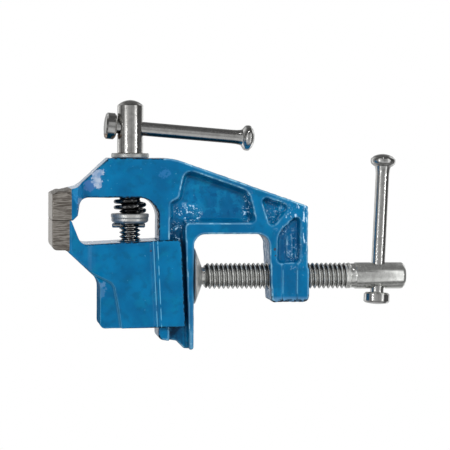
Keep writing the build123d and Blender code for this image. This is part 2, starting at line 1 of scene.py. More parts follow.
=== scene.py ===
# %% [markdown]
# # A small clamp-on hobby vise, dressed in Blender
# The CAD model gives every piece its place and size. This lesson gives the sand castings
# their skin, cuts real threads on both screws, and mixes the enamel, the ground steel and
# the plating. The CAD counts in metres and a maker in millimetres, so a measure is written
# in millimetres and multiplied by MM where Blender takes it.

import json

import bpy
import numpy as np
from mathutils import Matrix, Vector

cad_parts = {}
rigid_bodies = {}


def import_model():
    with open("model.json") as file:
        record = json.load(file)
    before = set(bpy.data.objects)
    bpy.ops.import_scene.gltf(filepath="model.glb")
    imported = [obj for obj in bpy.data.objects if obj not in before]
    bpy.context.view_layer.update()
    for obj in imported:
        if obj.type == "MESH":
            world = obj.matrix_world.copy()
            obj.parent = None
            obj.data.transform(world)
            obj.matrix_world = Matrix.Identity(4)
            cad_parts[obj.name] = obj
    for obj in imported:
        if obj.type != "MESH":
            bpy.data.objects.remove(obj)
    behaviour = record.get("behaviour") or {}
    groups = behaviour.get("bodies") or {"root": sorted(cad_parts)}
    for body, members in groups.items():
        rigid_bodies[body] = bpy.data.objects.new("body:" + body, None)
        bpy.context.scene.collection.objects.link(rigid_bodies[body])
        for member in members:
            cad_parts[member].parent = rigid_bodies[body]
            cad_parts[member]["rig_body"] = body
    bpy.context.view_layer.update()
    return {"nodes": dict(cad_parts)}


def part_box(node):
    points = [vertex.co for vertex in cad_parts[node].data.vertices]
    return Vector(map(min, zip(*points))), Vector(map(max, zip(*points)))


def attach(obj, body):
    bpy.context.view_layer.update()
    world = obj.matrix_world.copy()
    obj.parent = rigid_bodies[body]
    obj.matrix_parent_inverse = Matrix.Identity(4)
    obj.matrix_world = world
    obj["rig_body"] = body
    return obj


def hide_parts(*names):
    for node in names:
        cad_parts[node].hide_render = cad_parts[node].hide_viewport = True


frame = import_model()
nodes = frame["nodes"]
MM = 0.001
print("pieces from the CAD:", sorted(nodes))

# %% [markdown]
# ## The camera
# In the photograph the vise hangs sideways, and a long lens keeps its lines straight. The
# object could be turned to suit, but a camera that is rolled by a quarter turn leaves it
# where the CAD has it. The columns of the camera's matrix are what is right in the
# picture, what is up in it, and what lies behind the camera.

# %% Place the camera
eye = Vector((44.5, -600.0, 70.6)) * MM
target = Vector((15.55, 0.0, -10.2)) * MM
picture_up = Vector((0.9988, 0.048, 0.0))
ahead = (target - eye).normalized()
right = ahead.cross(picture_up).normalized()
up = right.cross(ahead)
camera = bpy.data.objects.new("camera", bpy.data.cameras.new("camera"))
camera.matrix_world = Matrix.Translation(eye) @ Matrix((right, up, -ahead)).transposed().to_4x4()
camera.data.sensor_width = 36.0
camera.data.lens = 159.0
camera.data.clip_start = 0.01
camera.data.dof.use_dof = False
bpy.context.scene.collection.objects.link(camera)
bpy.context.scene.camera = camera
bpy.context.scene.view_settings.view_transform = "Standard"
print("camera distance in mm:", round((target - eye).length / MM, 1))

# %% [markdown]
# ## Shader maths as plain expressions
# A material is a graph of nodes, and reads more easily as sums. So one small class wraps a
# socket and lets + - * / add Math nodes, also when the number stands on the left.


# %% Wrap a socket
class Wire:
    """One output socket. An expression on wires and numbers adds Math nodes."""

    def __init__(self, tree, socket):
        self.tree = tree
        self.socket = socket

    def math(self, operation, *values):
        return self.tree.node("ShaderNodeMath", {"operation": operation}, dict(enumerate(values)))

    def __add__(self, other):
        return self.math("ADD", self, other)

    __radd__ = __add__

    def __sub__(self, other):
        return self.math("SUBTRACT", self, other)

    def __rsub__(self, other):
        return self.math("SUBTRACT", other, self)

    def __mul__(self, other):
        return self.math("MULTIPLY", self, other)

    __rmul__ = __mul__

    def __truediv__(self, other):
        return self.math("DIVIDE", self, other)

    def __abs__(self):
        return self.math("ABSOLUTE", self)

    def root(self):
        return self.math("SQRT", self)

    def greater(self, other):
        return self.math("MAXIMUM", self, other)

    def angle_over(self, other):
        """The angle, in radians, of a slope that goes this far up over that far along."""
        return self.math("ARCTAN2", self, other)

    def rise(self, start, end):
        """0 before start, 1 past end and a smooth step between; it falls where end is less."""
        sockets = {"Value": self, "From Min": min(start, end), "From Max": max(start, end)}
        sockets.update({"To Min": float(start > end), "To Max": float(start < end)})
        settings = {"interpolation_type": "SMOOTHSTEP"}
        return self.tree.node("ShaderNodeMapRange", settings, sockets)


# %% [markdown]
# Everything that isn't a sum comes from one method, which takes a node's type, its
# settings and its sockets. The world and the materials share it.


# %% Add any other node
class Tree:
    """The node tree of the world or of a material, emptied."""

    def __init__(self, owner):
        owner.use_nodes = True
        self.owner = owner
        self.tree = owner.node_tree
        self.tree.nodes.clear()

    def node(self, kind, settings=None, sockets=None, output=0):
        """A node of a kind: its settings first, then the values or wires of its sockets."""
        made = self.tree.nodes.new(kind)
        for name, value in (settings or {}).items():
            setattr(made, name, value)
        for key, value in (sockets or {}).items():
            if isinstance(value, Wire):
                self.tree.links.new(value.socket, made.inputs[key])
            else:
                made.inputs[key].default_value = value
        return Wire(self, made.outputs[output])

    def parts(self, vector):
        """X, Y and Z of a vector, as three wires."""
        return [self.node("ShaderNodeSeparateXYZ", {}, {0: vector}, axis) for axis in "XYZ"]

    def end(self, kind, shader):
        """Joins a shader to the output node."""
        self.tree.links.new(shader.socket, self.tree.nodes.new(kind).inputs["Surface"])
        return self.owner


# %% [markdown]
# Colours are read off a screen as 0 to 255, but light adds up in linear values. The curve
# between the two is the screen standard's: a straight foot and then a power of 2.4.


# %% Turn a screen's colour into light
def linear(red, green, blue):
    """A colour as it is read off a screen, 0 to 255, in the linear values that nodes take."""
    part = np.array([red, green, blue]) / 255
    value = np.where(part <= 0.04045, part / 12.92, ((part + 0.055) / 1.055) ** 2.4)
    return (*value.tolist(), 1.0)


print("a mid grey of 128 is", round(linear(128, 128, 128)[0], 3), "in linear light")

# %% [markdown]
# A real finish is built up in coats: paint, then dust, wear and scratches over it. The
# class below holds the colour so far, and each coat is laid over it through a mask. Places
# are in the object's own millimetres, so a pattern moves with its piece.


# %% Mix a finish in coats
class Finish(Tree):
    """A new material that holds the colour so far."""

    def __init__(self, name):
        super().__init__(bpy.data.materials.new(name))
        there = self.node("ShaderNodeTexCoord", output="Object")
        sockets = {0: there, "Scale": 1 / MM}
        self.where = self.node("ShaderNodeVectorMath", {"operation": "SCALE"}, sockets)
        self.x, self.y, self.z = self.parts(self.where)
        self.colour = None

    def noise(self, size, detail=2.0, roughness=0.5, stretch=(1, 1, 1)):
        """Cloudy noise from 0 to 1 whose blobs are about size millimetres across."""
        turned = self.node("ShaderNodeMapping", {}, {"Vector": self.where, "Scale": stretch})
        sockets = {"Vector": turned, "Scale": 1 / size, "Detail": detail, "Roughness": roughness}
        return self.node("ShaderNodeTexNoise", {}, sockets)

    def blend(self, mask, first, second):
        """The first colour where the mask is 0 and the second where it is 1."""
        settings = {"data_type": "RGBA", "clamp_factor": True}
        return self.node("ShaderNodeMix", settings, {0: mask, 6: first, 7: second}, output=2)

    def coat(self, mask, shade):
        """Lays a screen's shade over the colour so far, as thick as the mask says."""
        self.colour = self.blend(mask, self.colour, linear(*shade))

    def bump(self, height, distance, strength=1.0, normal=None):
        """Bump whose height of 1 stands distance millimetres proud."""
        sockets = {"Height": height, "Distance": distance * MM, "Strength": strength}
        if normal is not None:
            sockets["Normal"] = normal
        return self.node("ShaderNodeBump", {}, sockets)

    def surface(self, **sockets):
        """The finished material; an underscore in a socket's name stands for a space."""
        named = {name.replace("_", " "): value for name, value in sockets.items()}
        shader = self.node("ShaderNodeBsdfPrincipled", {}, named)
        return self.end("ShaderNodeOutputMaterial", shader)


def put_on(piece, material):
    """Gives a piece a material in place of any that it had."""
    piece.data.materials.clear()
    piece.data.materials.append(material)
    print(piece.name, "wears", material.name)


# %% [markdown]
# ## Studio light
# Paint needs even light, but on polished steel one sees only the room. Lamps could do both,
# at the cost of grain. Here the world is white to the camera, an even grey to the paint,
# and a small studio to a reflection, drawn by an angle to the side and one upwards, so
# every panel is a product of smooth steps.

# %% Measure directions in the studio
world = bpy.context.scene.world or bpy.data.worlds.new("studio")
bpy.context.scene.world = world
studio = Tree(world)
way = studio.node("ShaderNodeTexCoord", output="Generated")
way_x, way_y, way_z = studio.parts(way)
side_angle = way_z.angle_over(abs(way_y))
rise_angle = way_x.angle_over(abs(way_y))


def panel(angle, start, end, edge, other, other_half):
    """1 inside a panel, in degrees: a step up at the start, down at the end, down at the half."""
    inside = angle.rise(np.radians(start - edge), np.radians(start + edge))
    inside = inside * angle.rise(np.radians(end + edge), np.radians(end - edge))
    return inside * abs(other).rise(np.radians(other_half + 10), np.radians(other_half - 10))


# %% [markdown]
# A grey front, a little brighter towards the table, lights the middle of round parts, but
# for the dark patch of the camera's lens. Tall soft boxes at both sides draw bright lines
# along screws and bars, a glow and a dim far panel soften the left, and a white sheet
# stands behind.

# %% Hang the panels
lens = panel(side_angle, -12, 1, 2, rise_angle + np.radians(3), 5)
front = panel(rise_angle, -58, 34, 6, side_angle, 40) * (1 - 0.75 * lens)
table = rise_angle.rise(np.radians(-8), np.radians(-30))
under = rise_angle.rise(np.radians(-70), np.radians(-95))
sheet = way_y.rise(0.05, 0.30) * (0.14 + 0.30 * way_z.rise(0.2, 0.6))
sheet_middle = 1.15 * way_y.rise(0.984, 0.995)
room = 0.09 + front * (0.32 + 0.16 * table) + 0.3 * under
room = room.greater(sheet + sheet_middle)
side_panels = {  # brightness, start, end and edge in degrees to the left
    "left box": (1.3, 40, 56, 4),
    "left glow": (0.62, 20, 44, 8),
    "far left": (0.26, 62, 88, 5),
    "right box": (1.3, -56, -34, 4),
}
for brightness, start, end, edge in side_panels.values():
    room = room.greater(brightness * panel(side_angle, start, end, edge, rise_angle, 50))
print("panels at the sides:", ", ".join(side_panels))


# %% [markdown]
# What a ray meets depends on its kind: the camera sees white, a reflection sees the room,
# and all the rest meets an even grey.


# %% Choose a light for each kind of ray
def glow(brightness):
    """White light of a brightness, which may change with the direction."""
    return studio.node("ShaderNodeBackground", {}, {"Color": (1, 1, 1, 1), "Strength": brightness})


def for_rays(kind, theirs, others):
    """One light for rays of a kind and another for all the rest."""
    is_kind = studio.node("ShaderNodeLightPath", output=kind)
    return studio.node("ShaderNodeMixShader", {}, {0: is_kind, 1: others, 2: theirs})


mirrored_or_even = for_rays("Is Glossy Ray", glow(room), glow(0.34))
studio.end("ShaderNodeOutputWorld", for_rays("Is Camera Ray", glow(1.0), mirrored_or_even))
print("the studio has", len(studio.tree.nodes), "nodes")

# %% [markdown]
# Soft lamps shade the paint: a key lamp at the right of the picture, a weaker one at the
# left and one behind. Three tiny ones are mirrored in the metal, as glints.


# %% Set the lamps
def soft_lamp(name, place, watts, size, mirrored=False):
    """A square area lamp, in millimetres, that looks at the vise; mirrored ones give glints."""
    lamp = bpy.data.objects.new(name, bpy.data.lights.new(name, "AREA"))
    lamp.data.energy = watts
    lamp.data.size = size * MM
    lamp.location = Vector(place) * MM
    lamp.rotation_euler = (target - lamp.location).to_track_quat("-Z", "Y").to_euler()
    lamp.visible_glossy = mirrored
    bpy.context.scene.collection.objects.link(lamp)
    print(name, "gives", watts, "W")


soft_lamp("key_lamp", (270, -520, -170), 2.05, 120)
soft_lamp("left_lamp", (60, -430, 300), 0.8, 160)
soft_lamp("back_lamp", (160, 520, 60), 2.0, 200)
soft_lamp("left_glint", (40, -480, 400), 0.10, 36, mirrored=True)
soft_lamp("right_glint", (60, -380, -470), 0.10, 36, mirrored=True)
soft_lamp("top_glint", (560, -310, 0), 0.12, 40, mirrored=True)

# %% [markdown]
# A pale floor lies well below the vise, out of the picture. It glows a little, to stay
# pale where no lamp reaches.

# %% Lay the floor
floor_half = 400
floor_corners = np.array([(-1, -1, -0.5), (1, -1, -0.5), (1, 1, -0.5), (-1, 1, -0.5)])
floor_corners = floor_corners * floor_half * MM
floor_mesh = bpy.data.meshes.new("floor")
floor_mesh.from_pydata(floor_corners.tolist(), [], [(0, 1, 2, 3)])
floor = bpy.data.objects.new("floor", floor_mesh)
bpy.context.scene.collection.objects.link(floor)
floor_paint = Finish("pale_floor").surface(
    Base_Color=linear(232, 232, 230),
    Roughness=0.7,
    Emission_Color=(1, 1, 1, 1),
    Emission_Strength=0.45,
)
put_on(floor, floor_paint)
floor.visible_glossy = False

# %% [markdown]
# ## The castings' skin
# A sand casting has no sharp edge and no true plane: the grains print a fine roughness,
# the paint rounds it, and deep pockets keep their lumps. A Bevel modifier could round the
# edges, but not where curved walls meet at every angle. So a copy of the solid is remeshed
# into small squares, smoothed, and pushed in and out by noise. Its mesh is read as arrays.


# %% Read and write a mesh as arrays
def points_of(mesh, what="co"):
    """The vertices' places in metres, or their normals, one row each."""
    flat = np.zeros(len(mesh.vertices) * 3, np.float32)
    mesh.vertices.foreach_get(what, flat)
    return flat.reshape(-1, 3).astype(float)


def edges_of(mesh):
    """The numbers of the two vertices of each edge."""
    flat = np.zeros(len(mesh.edges) * 2, np.int32)
    mesh.edges.foreach_get("vertices", flat)
    return flat.reshape(-1, 2)


def put_points(mesh, points):
    """Moves the vertices to places in millimetres."""
    mesh.vertices.foreach_set("co", (points * MM).astype(np.float32).ravel())
    mesh.update()


def keep_number(mesh, name, values):
    """Keeps one number on each vertex, for a material to read by its name."""
    layer = mesh.attributes.new(name, "FLOAT", "POINT")
    layer.data.foreach_set("value", values.astype(np.float32))


print("the body's CAD mesh has", len(points_of(nodes["body_casting"].data)), "points")


# %% [markdown]
# Smoothing moves each point towards the mean of its neighbours. The same mean tells how far
# a point stands proud of its surroundings, which is where paint wears and where painted
# highlights and dark lines go, or how deep it lies, which gets painted shade.


# %% Compare a point with its neighbours
def neighbour_mean(values, edges):
    """The mean of each vertex's neighbours: sums over both ends of all edges, over their count."""
    count = np.bincount(edges.ravel(), minlength=len(values))
    total = np.zeros_like(values)
    for here, there in (edges.T, edges.T[::-1]):
        for column in range(values.shape[1]):
            total[:, column] += np.bincount(here, values[there, column], len(values))
    return total / np.maximum(count, 1)[:, None]


def smoothed(points, edges, passes=3):
    """Each pass steps towards the neighbours' mean and back by a hair more, so nothing shrinks."""
    for _ in range(passes):
        for step in (0.55, -0.57):
            points = points + step * (neighbour_mean(points, edges) - points)
    return points


def standing_proud(points, normals, edges, passes):
    """How far each point lies above the smoothed surface; more passes compare with a wider round."""
    broad = points
    for _ in range(passes):
        broad = broad + 0.6 * (neighbour_mean(broad, edges) - broad)
    return np.einsum("ij,ij->i", points - broad, normals)


# %% [markdown]
# The roughness of cast sand is value noise: numbers on the corners of a lattice, blended
# inside each cell. They are mixed from a corner's place, so every run gives the same lumps.


# %% Make lumps from numbers
def step_up(values, start, end):
    """0 before start, 1 after end, and 3 s squared - 2 s cubed of the share s between."""
    share = np.clip((values - start) / (end - start), 0, 1)
    return share * share * (3 - 2 * share)


def lumps(points, size, seed):
    """Value noise from -1 to 1: each corner's number times its nearness in X, Y and Z, summed."""
    scaled = points / size + 1000.5
    cell = np.floor(scaled).astype(np.int64)
    part = step_up(scaled - cell, 0, 1)
    result = np.zeros(len(points))
    for corner in np.ndindex(2, 2, 2):
        x, y, z = (cell + corner).T
        mixed = (x * 73856093) ^ (y * 19349663) ^ (z * 83492791) ^ (seed * 2654435761)
        mixed = ((mixed ^ (mixed >> 13)) * 1274126177) & 0x7FFFFFFF
        weight = np.prod(np.where(corner, part, 1 - part), axis=1)
        result += weight * ((mixed >> 7) % 65536 / 32767.5 - 1)
    return result


print("lumps of 1 mm at three places:", lumps(np.eye(3), 1.0, 3).round(2))


# %% [markdown]
# The voxel remesh needs a closed surface, and a CAD node's mesh is loose triangles, so the
# copy is welded first. The CAD node itself is never changed.


# %% Copy a solid as small even squares
def even_copy(node, cell):
    """A copy of a CAD node in squares of about a cell in size."""
    mesh = nodes[node].data.copy()
    mesh.materials.clear()
    skin = bpy.data.objects.new(node + "_skin", mesh)
    bpy.context.scene.collection.objects.link(skin)
    weld = skin.modifiers.new("weld", "WELD")
    weld.merge_threshold = 0.002 * MM
    squares = skin.modifiers.new("squares", "REMESH")
    squares.mode = "VOXEL"
    squares.voxel_size = cell * MM
    graph = bpy.context.evaluated_depsgraph_get()
    skin.data = bpy.data.meshes.new_from_object(skin.evaluated_get(graph))
    skin.modifiers.clear()
    bpy.data.meshes.remove(mesh)
    skin.data.name = node + "_skin"
    return skin


# %% [markdown]
# Five numbers stay on every vertex for the paint: how proud it stands and how deep it lies,
# how far it faces up and to the side, and how loose the sand was. The skin never leaves the
# CAD's box.


# %% Cast a skin over a solid
def cast_skin(node, cell, by_hand, loose_of, roughness_of):
    """A rough copy of a CAD node that stands for it; by_hand moves points before the smoothing."""
    skin = even_copy(node, cell)
    mesh = skin.data
    edges = edges_of(mesh)
    points = smoothed(by_hand(points_of(mesh) / MM), edges)
    put_points(mesh, points)
    normals = points_of(mesh, "normal")
    keep_number(mesh, "proud", standing_proud(points, normals, edges, 4))
    keep_number(mesh, "deep", standing_proud(points, normals, edges, 60))
    keep_number(mesh, "upward", normals[:, 2])
    keep_number(mesh, "side_on", np.abs(normals[:, 1]))
    keep_number(mesh, "loose", loose_of(points))
    low, high = [np.array(corner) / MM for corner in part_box(node)]
    put_points(mesh, np.clip(points + normals * roughness_of(points)[:, None], low, high))
    mesh.shade_smooth()
    print(skin.name, "has", len(mesh.polygons), "faces")
    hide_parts(node)
    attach(skin, nodes[node]["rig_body"])
    return skin


# %% [markdown]
# ### Where the sand was loose
# The lumps are thick in a few places, listed as ellipses on the casting's side: X and Z of
# the middle, and the half sizes.


# %% Mark the loose sand
def round_spot(points, x, z, x_half, z_half):
    """1 at a spot on the casting's side and 0 outside its half sizes."""
    off = np.hypot((points[:, 0] - x) / x_half, (points[:, 2] - z) / z_half)
    return 1 - step_up(off, 0.6, 1.1)


def spots_sum(points, spots):
    return sum(round_spot(points, *spot) for spot in spots)


both_ends_of_the_big_pocket = ((19.0, 1.8, 3.5, 5.0), (20.8, -16.6, 6.0, 1.8), (13.5, 5.0, 3.5, 2.2))
boss_and_triangle_pockets = ((8.5, -31.0, 7.0, 3.5), (19.5, -26.0, 7.0, 5.0))
rib_and_outer_corner = (
    (19.8, -33.9, 2.6, 1.2),
    (15.5, -27.6, 3.2, 1.3),
    (18.6, -29.5, 2.0, 2.0),
    (9.0, -34.2, 2.2, 0.8),
)


def loose_sand(points):
    """Strong and weak spots inside the pockets, and flat ones on the face."""
    inside = 1 - step_up(np.abs(points[:, 1]), 6.3, 6.9)
    inside = inside * (1 - step_up(points[:, 2], 6.5, 7.2))
    strong = spots_sum(points, both_ends_of_the_big_pocket)
    weak = spots_sum(points, boss_and_triangle_pockets)
    flat = spots_sum(points, rib_and_outer_corner)
    deep = np.clip(strong + 0.5 * weak, 0, 1) * (0.15 + 0.85 * inside)
    return np.clip(deep + 0.6 * flat, 0, 1)


def no_loose_sand(points):
    return np.zeros(len(points))


print("loose sand at the big pocket's end:", loose_sand(np.array([[20.8, 4.0, -16.6]]))[0].round(2))


# %% [markdown]
# ### What the mould and the file did
# The triangle's end is half full of sand, and the pocket over the clamp boss holds a lens
# that stands 1 mm over its floor between two ridges. Where the flange turns from the
# throat's rim to the seat, a file drew the square corner in to a quarter circle.


# %% Fill the pockets and dress the corner
def filled_pockets(points):
    """Moves the pockets' floors towards the face by a share of the way left.

    The share is a spot for the triangle's end and, for the lens, one minus the sixth power
    across it, higher at its two sides and faded at both ends.
    """
    face, ridge_fade = 6.6, 9.0
    x, z, depth = points[:, 0], points[:, 2], np.abs(points[:, 1])
    bow = 0.35 * np.clip((x - 9.3) / 3.0, -1, 1) ** 2
    across = (z + 29.3) / (1.4 - bow)
    lens = np.clip(1 - np.abs(across) ** 6, 0, 1) * (0.6 + 0.4 * across**2)
    lens = lens * round_spot(points, 9.3, -29.3, 4.2, ridge_fade)
    end = 0.45 * round_spot(points, 20.5, -28.3, 4.5, 3.2)
    share = np.clip(end + 0.45 * lens, 0, 0.85) * step_up(depth, 1.5, 2.4)
    moved = np.where(depth < face, depth + share * (face - depth), depth)
    return np.column_stack([x, np.sign(points[:, 1]) * moved, z])


def dressed_corner(points, radius=1.5, centre=(15.0, 1.3), web=2.7):
    """Draws square rings in to circles: times the larger side over the length."""
    off = points[:, [0, 2]] - centre
    far, near = np.max(off, axis=1), np.min(off, axis=1)
    corner = (near > 0) & (far < radius + 0.2) & (np.abs(points[:, 1]) > web)
    shrink = np.where(corner, far / np.maximum(np.hypot(*off.T), 1e-6), 1.0)
    drawn = centre + off * shrink[:, None]
    return np.column_stack([drawn[:, 0], points[:, 1], drawn[:, 1]])


def dressed_body(points):
    return dressed_corner(filled_pockets(points))


print("the flange's corner is filed to", dressed_body(np.array([[16.5, 6.0, 2.8]]))[0].round(2))


# %% [markdown]
# ### Roughness
# Each layer is a height in millimetres times lumps of a size. The jaws are ground after
# casting, so the roughness ends where the grinding begins.


# %% Cast both skins
def above_the_grinding(points):
    return step_up(points[:, 2], 36.6, 37.4)


def body_roughness(points):
    """Coarse lumps in loose sand, a swell on the pocket floors and a fine grain."""
    inside = 1 - step_up(np.abs(points[:, 1]), 6.2, 6.7)
    inside = inside * (1 - step_up(points[:, 2], 2.5, 4.0))
    coarse = 0.30 * lumps(points, 1.7, 1) + 0.30 * lumps(points, 0.95, 2)
    floor_swell = 0.08 * lumps(points, 2.6, 7) + 0.07 * lumps(points, 1.2, 8)
    fine = 0.03 * lumps(points, 1.9, 3) + 0.015 * lumps(points, 0.9, 4)
    height = loose_sand(points) * coarse + inside * floor_swell + fine - 0.03
    return height * (1 - above_the_grinding(points))


def jaw_roughness(points):
    """The moving jaw is smoother: only a faint swell."""
    swell = 0.03 * lumps(points, 2.6, 5) + 0.012 * lumps(points, 1.0, 6)
    return (swell - 0.02) * (1 - above_the_grinding(points))


def as_cast(points):
    return points


body_skin = cast_skin("body_casting", 0.38, dressed_body, loose_sand, body_roughness)
jaw_skin = cast_skin("moving_jaw", 0.34, as_cast, no_loose_sand, jaw_roughness)

# %% [markdown]
# ## Screws with real threads
# A die cuts a spiral groove. A Screw modifier could sweep it, but both ends would need
# mending. Here a thread is a turned profile whose radius also depends on the angle: the
# distance over the pitch, minus the share of a turn, says where on a flank a point lies.


# %% Cut a thread into a profile
def with_thread_rows(profile, thread):
    """The same outline with twelve rows to each turn of the thread."""
    start, end = thread["start"], thread["end"]
    rows = np.arange(start, end, thread["pitch"] / 12)
    threaded = np.column_stack([rows, np.interp(rows, *profile.T)])
    return np.vstack([profile[profile[:, 0] < start], threaded, profile[profile[:, 0] >= end]])


def groove(along, angle, start, end, pitch, depth):
    """How deep the die cut: the depth times a trapezium wave, faded out at both ends.

    The wave is made of how far the share of a turn is from the middle of the thread, with
    2.8 as the flank's slope; 0.25 is taken off for the flat crest, and 1 is the flat root.
    """
    phase = (along / pitch - angle / (2 * np.pi)) % 1
    wave = np.clip(np.abs(phase - 0.5) * 2.8 - 0.25, 0, 1)
    fade = step_up(along, start, start + pitch) * (1 - step_up(along, end - 1.5 * pitch, end))
    return depth * wave * fade


quarter_inch = dict(start=-14.4, end=24.0, pitch=1.27, depth=0.78)
five_sixteenths = dict(start=3.76, end=48.8, pitch=1.411, depth=0.866)
for thread in (quarter_inch, five_sixteenths):
    print("a thread has", round((thread["end"] - thread["start"]) / thread["pitch"], 1), "turns")


# %% [markdown]
# All turned pieces share one surface: the rows of a profile, as distance along the axis and
# radius, carried round the axis in equal steps.


# %% Turn a profile round an axis
def directions(axis):
    """An axis of length 1 and two directions that are square to it and to each other."""
    axis = np.array(axis, float) / np.linalg.norm(axis)
    aside = (0.0, 1.0, 0.0) if abs(axis[1]) < 0.9 else (1.0, 0.0, 0.0)
    first = np.cross(axis, aside)
    first /= np.linalg.norm(first)
    return axis, first, np.cross(axis, first)


def faces_round(rows, columns, closed):
    """Squares between rows that run round the axis; the ends join if closed, or get lids."""
    number = np.arange(rows * columns).reshape(rows, columns)
    after = np.roll(number, -1, axis=1)
    if closed:
        number, after = np.vstack([number, number[:1]]), np.vstack([after, after[:1]])
    squares = np.stack([number[:-1], after[:-1], after[1:], number[1:]], axis=-1)
    lids = [] if closed else [number[0, ::-1].tolist(), number[-1].tolist()]
    return squares.reshape(-1, 4).tolist() + lids


def turned(name, profile, axis_point, axis, turns=96, thread=None, closed=False):
    """A surface of turning: point on the axis + distance x axis + radius x (cosine, sine).

    Rows go along the profile of (distance, radius), and columns go round the axis. A thread
    takes its groove off the radius.
    """
    profile = np.array(profile, float)
    if thread:
        profile = with_thread_rows(profile, thread)
    angle = np.linspace(0, 2 * np.pi, turns, endpoint=False)
    along, round_it = np.meshgrid(profile[:, 0], angle, indexing="ij")
    radius = np.repeat(profile[:, 1:2], turns, axis=1)
    if thread:
        radius = radius - groove(along, round_it, **thread) * (radius > thread["depth"])
    axis, first, second = directions(axis)
    outward = np.cos(round_it)[..., None] * first + np.sin(round_it)[..., None] * second
    points = np.array(axis_point) + along[..., None] * axis + radius[..., None] * outward
    faces = faces_round(*along.shape, closed)
    mesh = bpy.data.meshes.new(name)
    mesh.from_pydata((points.reshape(-1, 3) * MM).tolist(), [], faces)
    mesh.update()
    piece = bpy.data.objects.new(name, mesh)
    bpy.context.scene.collection.objects.link(piece)
    print(name, "has", len(faces), "faces")
    return piece


# %% [markdown]
# The hubs and caps end in a dome, and each hub has a cross hole for its bar. A drill's hole
# in a round hub has a curved rim, so it is cut with the exact Boolean.


# %% Round an end and drill a hole
def dome_rows(start, end, count=10):
    """Rows of a spherical end, in equal steps of angle from the end with the smaller radius.

    The sphere's radius is (rim squared + height squared) / (2 x height).
    """
    tip, rim = (start, end) if start[1] < end[1] else (end, start)
    height = abs(rim[0] - tip[0])
    sphere = (rim[1] ** 2 + height**2) / (2 * height)
    angle = np.arcsin(min(rim[1] / sphere, 1.0)) * np.linspace(0, 1, count)
    away = np.sign(rim[0] - tip[0])
    rows = np.column_stack([tip[0] + away * sphere * (1 - np.cos(angle)), sphere * np.sin(angle)])
    return (rows if tip is start else rows[::-1]).tolist()


def drilled(piece, centre, way):
    """A piece with a hole of 5 mm through a centre, kept as its mesh."""
    drill = turned("hole", [(-6, 2.5), (6, 2.5)], centre, way, turns=48)
    hole = piece.modifiers.new("hole", "BOOLEAN")
    hole.operation = "DIFFERENCE"
    hole.solver = "EXACT"
    hole.object = drill
    graph = bpy.context.evaluated_depsgraph_get()
    mesh = bpy.data.meshes.new_from_object(piece.evaluated_get(graph))
    piece.modifiers.clear()
    whole, piece.data = piece.data, mesh
    for spent in (whole, drill.data):
        bpy.data.meshes.remove(spent)
    return piece


def stands_for(piece, node, crisp_over=32):
    """Takes a CAD node's place; edges sharper than an angle in degrees stay crisp."""
    piece.data.shade_smooth()
    piece.data.set_sharp_from_angle(angle=np.radians(crisp_over))
    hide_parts(node)
    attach(piece, nodes[node]["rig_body"])
    return piece


# %% [markdown]
# ### The main screw
# It is a quarter inch screw of 20 threads an inch with a plain shank, a hub of 7.8 mm with
# a domed end, and a hole for the bar, which stands at a slant of 3 degrees.

# %% Cut the main screw
screw_height, main_radius = 18.9, 3.175
hub_start, hub_end, hub_radius = 37.35, 51.75, 3.9
main_profile = [(-14.4, 2.4), (-13.6, main_radius), (24.0, main_radius)]
main_profile += [(hub_start - 0.001, main_radius), (hub_start, 3.75)]
main_profile += [(hub_start + 0.15, hub_radius), (hub_end - 0.3, hub_radius)]
main_profile += dome_rows((hub_end, 3.86), (hub_end + 1.6, 0.01))
screw_line = (0, 0, screw_height)
main_place = (45.0, 0, screw_height)
bar_turn = np.radians(3)
main_hole_way = (0, -np.sin(bar_turn), np.cos(bar_turn))
main_screw = turned("main_screw_turned", main_profile, screw_line, (1, 0, 0), thread=quarter_inch)
main_screw = drilled(main_screw, main_place, main_hole_way)
main_screw = stands_for(main_screw, "main_screw", crisp_over=35)

# %% [markdown]
# ### The clamp screw
# Five sixteenths of an inch with 18 threads an inch. Its foot is riveted over inside the
# pad, and its thread runs out at a small shoulder under the hub.

# %% Cut the clamp screw
clamp_radius = 3.97
clamp_foot = [(0.5, 2.6), (0.9, 3.0), (1.3, 3.0), (1.301, 2.1), (2.95, 2.1), (2.951, 2.7)]
clamp_neck = [(3.75, 2.7), (3.751, 3.1), (4.62, clamp_radius), (48.8, clamp_radius)]
clamp_shoulder = [(49.1, 3.72), (50.3, 3.76), (50.7, 4.05)]
clamp_end = [(65.1, 4.05), (65.5, 3.85), (66.1, 3.2)]
clamp_profile = clamp_foot + clamp_neck + clamp_shoulder + clamp_end
clamp_place = (0, 0, -57.8)
clamp_turn = np.radians(5)
clamp_hole_way = (-np.cos(clamp_turn), -np.sin(clamp_turn), 0)
down = (0, 0, -1)
clamp_screw = turned("clamp_screw_turned", clamp_profile, (0, 0, 0), down, thread=five_sixteenths)
clamp_screw = drilled(clamp_screw, clamp_place, clamp_hole_way)
clamp_screw = stands_for(clamp_screw, "clamp_screw", crisp_over=35)

# %% [markdown]
# ## Turned parts
# A turning bar is a rod whose one end was struck into a swelling head with a domed tip,
# and a cap is pressed on the other. Each is one profile, measured along the bar.


# %% Turn the bars and their caps
def turned_bar(node, centre, way, cap_face):
    """A rod with an upset, domed head; its distance runs from the hub's centre to the cap."""
    head_end, head_start = cap_face - 42.8, cap_face - 38.9
    rod = 2.1
    dome = dome_rows((head_end, 0.01), (head_end + 0.8, 3.0))
    swell = [(1.15, 3.3), (1.4, 3.7), (1.7, 3.87), (2.2, 3.9), (2.8, 3.8)]
    swell += [(3.2, 3.5), (3.5, 3.1), (3.8, 2.7)]
    neck = [(0.0, 2.5), (0.6, 2.3), (1.6, 2.15), (3.0, rod)]
    rows = dome + [(head_end + far, radius) for far, radius in swell]
    rows += [(head_start + far, radius) for far, radius in neck] + [(cap_face + 2.4, rod)]
    return stands_for(turned(node + "_turned", rows, centre, way), node)


